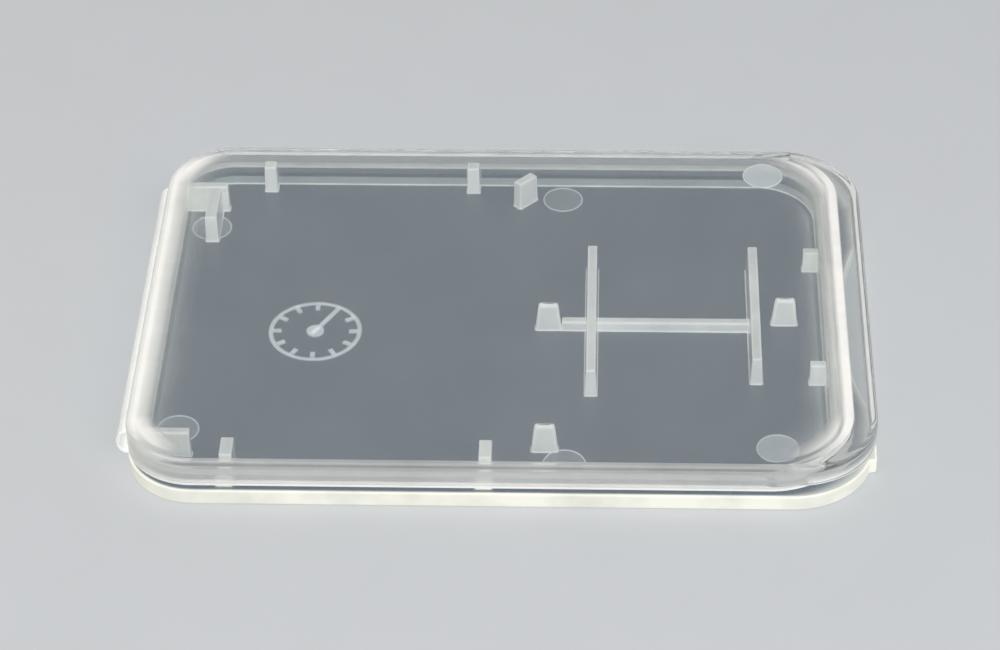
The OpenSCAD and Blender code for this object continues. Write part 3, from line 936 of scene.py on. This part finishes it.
def mark_tree():
    """Node tree of the ejector marks: a low disc with a fine raised rim at each starting point."""
    tree, given = grow_tree("ejector_marks", (
        ("Radius", "Float", 0.0015), ("Rim", "Float", 0.00006), ("Height", "Float", 0.00003),
        ("Milk", "Float", 0.18)))
    rim_milk = 0.7
    disc = node(tree, "GeometryNodeMeshCylinder", {
        "Vertices": 64, "Radius": given["Radius"], "Depth": given["Height"]})
    ring = node(tree, "GeometryNodeCurvePrimitiveCircle", {"Resolution": 64, "Radius": given["Radius"]})
    bead = node(tree, "GeometryNodeCurvePrimitiveCircle", {"Resolution": 8, "Radius": given["Rim"]})
    rim = node(tree, "GeometryNodeCurveToMesh", {"Curve": ring, "Profile Curve": bead})
    one = joined(tree, milk_on(tree, disc, given["Milk"]),
                 milk_on(tree, rim, rim_milk))
    spread = node(tree, "GeometryNodeInstanceOnPoints", {"Points": given["Geometry"], "Instance": one})
    real = node(tree, "GeometryNodeRealizeInstances", {0: spread})
    done = node(tree, "GeometryNodeSetMaterial", {"Geometry": real, "Material": given["Material"]})
    node(tree, "NodeGroupOutput", {0: done})
    return tree


class CASE_OT_ejector_marks(bpy.types.Operator):
    """Make the round marks that the mould's ejector pins leave on the floor and under the lid"""

    bl_idname = "case.ejector_marks"
    bl_label = "Ejector marks"

    radius: length("Radius", "Radius of an ejector pin", 1.5)

    def execute(self, context):
        floor, under = FLOOR_HIGH[2], COVER_LOW[2]
        # Name, body, milk and the places in which the photograph shows the marks
        groups = (
            ("shallow_ejector_marks", "base", 0.22,
             [(-22.93, 11.9, floor), (-23.03, -12.25, floor), (4.32, 15.9, floor), (4.92, -15.6, floor)]),
            ("deep_ejector_mark", "base", 0.5, [(20.17, -13.7, floor)]),
            ("lid_ejector_mark", "lid", 0.5, [(19.87, 15.98, under)]),
        )
        tree = mark_tree()
        for name, body, milk, points in groups:
            start = bpy.data.meshes.new(name + "_seed")
            start.from_pydata([tuple(c * MM for c in p) for p in points], [], [])
            mesh = grown(name, start, tree, {"Radius": self.radius, "Rim": 0.06 * MM, "Height": 0.03 * MM,
                                             "Milk": milk, "Material": finish_of("mark")})
            put(name, mesh, "mark", body, [])
        return {"FINISHED"}


def aim(place, target):
    """World matrix that looks from place at target, with its top up."""
    ahead = (Vector(target) - Vector(place)).normalized()
    return Matrix.Translation(Vector(place)) @ ahead.to_track_quat("-Z", "Y").to_matrix().to_4x4()


def soft_box(name, place, size, power, colour):
    """A large soft lamp that faces the case."""
    lamp = bpy.data.lights.new(name, "AREA")
    lamp.shape, lamp.size, lamp.size_y, lamp.energy = "RECTANGLE", size[0], size[1], power
    lamp.color = linear(colour)[:3]
    made = bpy.data.objects.new(name, lamp)
    made.matrix_world = aim(place, (0, 0, 0))
    # The clear walls already let its light in by their stand-in for shadows
    made.visible_transmission = False
    bpy.context.scene.collection.objects.link(made)


class CASE_OT_stage(bpy.types.Operator):
    """Make the floor, the soft studio light and the camera"""

    bl_idname = "case.stage"
    bl_label = "Stage"

    def camera(self, scene):
        """The photograph's viewing angle: between the camera solved from the bays and one for the outline."""
        focal, sensor, distance, target = 120.249, 36.0, 248.9 * MM, Vector((-0.102, -0.857, 2.0)) * MM
        down, left, roll = math.radians(38.7), math.radians(2.38), math.radians(-0.95)
        lens = bpy.data.cameras.new("photo_camera")
        lens.lens, lens.sensor_width, lens.sensor_fit = focal, sensor, "HORIZONTAL"
        lens.clip_start, lens.clip_end = 0.01, 20.0
        ahead = Vector((-math.sin(left) * math.cos(down), math.cos(left) * math.cos(down), -math.sin(down)))
        flat = Vector((math.cos(left), math.sin(left), 0))
        rise = flat.cross(ahead)
        right = flat * math.cos(roll) + rise * math.sin(roll)
        above = rise * math.cos(roll) - flat * math.sin(roll)
        made = bpy.data.objects.new("photo_camera", lens)
        turn = Matrix((right, above, -ahead)).transposed().to_4x4()
        made.matrix_world = Matrix.Translation(target - ahead * distance) @ turn
        scene.collection.objects.link(made)
        scene.camera = made

    def board(self, colour):
        """A wide floor of painted board."""
        made, tree = fresh_material("painted_board_floor")
        # Paint with a faint roller texture, 6 mm across
        shade = node(tree, "ShaderNodeMapRange", {
            "Value": noise(tree, 160.0, 2.0), "To Min": 0.985, "To Max": 1.015})
        tint = node(tree, "ShaderNodeVectorMath", {0: colour, 1: shade}, operation="MULTIPLY")
        paint = node(tree, "ShaderNodeBsdfDiffuse", {"Color": tint})
        node(tree, "ShaderNodeOutputMaterial", {"Surface": paint})
        # Half the floor's width, and its height, a hair under the case
        half, drop = 1.5, -0.00002
        mesh = bpy.data.meshes.new("floor")
        around = ((-half, -half, drop), (half, -half, drop), (half, half, drop), (-half, half, drop))
        mesh.from_pydata(around, [], [(0, 1, 2, 3)])
        mesh.materials.append(made)
        return bpy.data.objects.new("floor", mesh)

    def execute(self, context):
        scene, stage = context.scene, context.scene.case_stage
        scene.view_settings.view_transform = "Standard"
        self.camera(scene)
        floor = self.board(tuple(stage.floor))
        scene.collection.objects.link(floor)

        world = bpy.data.worlds.new("studio")
        world.use_nodes = True
        world.node_tree.nodes.clear()
        air = node(world.node_tree, "ShaderNodeBackground", {
            "Color": linear("#F4F6F8"), "Strength": stage.surround})
        node(world.node_tree, "ShaderNodeOutputWorld", {"Surface": air})
        scene.world = world

        soft_box("key_softbox", (-0.26, -0.16, 0.52), (0.40, 0.30), stage.key, "#FFFDFA")
        soft_box("fill_softbox", (0.26, -0.42, 0.28), (0.36, 0.26), stage.fill, "#F8FBFF")
        return {"FINISHED"}


OPERATORS = (CASE_OT_stage, CASE_OT_lid_shell, CASE_OT_base_shell, CASE_OT_hinge_web, CASE_OT_card_ribs,
             CASE_OT_pegs, CASE_OT_micro_cradle, CASE_OT_wall_stays, CASE_OT_dial, CASE_OT_ejector_marks)


class CASE_PT_panel(bpy.types.Panel):
    """Lists the pieces in the order in which they are made"""

    bl_idname = "CASE_PT_panel"
    bl_label = "Memory card case"
    bl_space_type = "VIEW_3D"
    bl_region_type = "UI"
    bl_category = "Card case"

    def draw(self, context):
        for operator in OPERATORS:
            self.layout.operator(operator.bl_idname)
        for group in ("case_shells", "case_finish", "case_stage"):
            box = self.layout.box()
            settings = getattr(context.scene, group)
            for name in settings.__annotations__:
                box.prop(settings, name)


CLASSES = (CASE_PG_shells, CASE_PG_finish, CASE_PG_stage, *OPERATORS, CASE_PT_panel)


def register():
    for made in CLASSES:
        bpy.utils.register_class(made)
    bpy.types.Scene.case_shells = PointerProperty(type=CASE_PG_shells)
    bpy.types.Scene.case_finish = PointerProperty(type=CASE_PG_finish)
    bpy.types.Scene.case_stage = PointerProperty(type=CASE_PG_stage)


def unregister():
    for group in ("case_shells", "case_finish", "case_stage"):
        delattr(bpy.types.Scene, group)
    for made in reversed(CLASSES):
        bpy.utils.unregister_class(made)


def main():
    register()
    for operator in OPERATORS:
        group, name = operator.bl_idname.split(".")
        getattr(getattr(bpy.ops, group), name)()


if __name__ == "__main__":
    main()
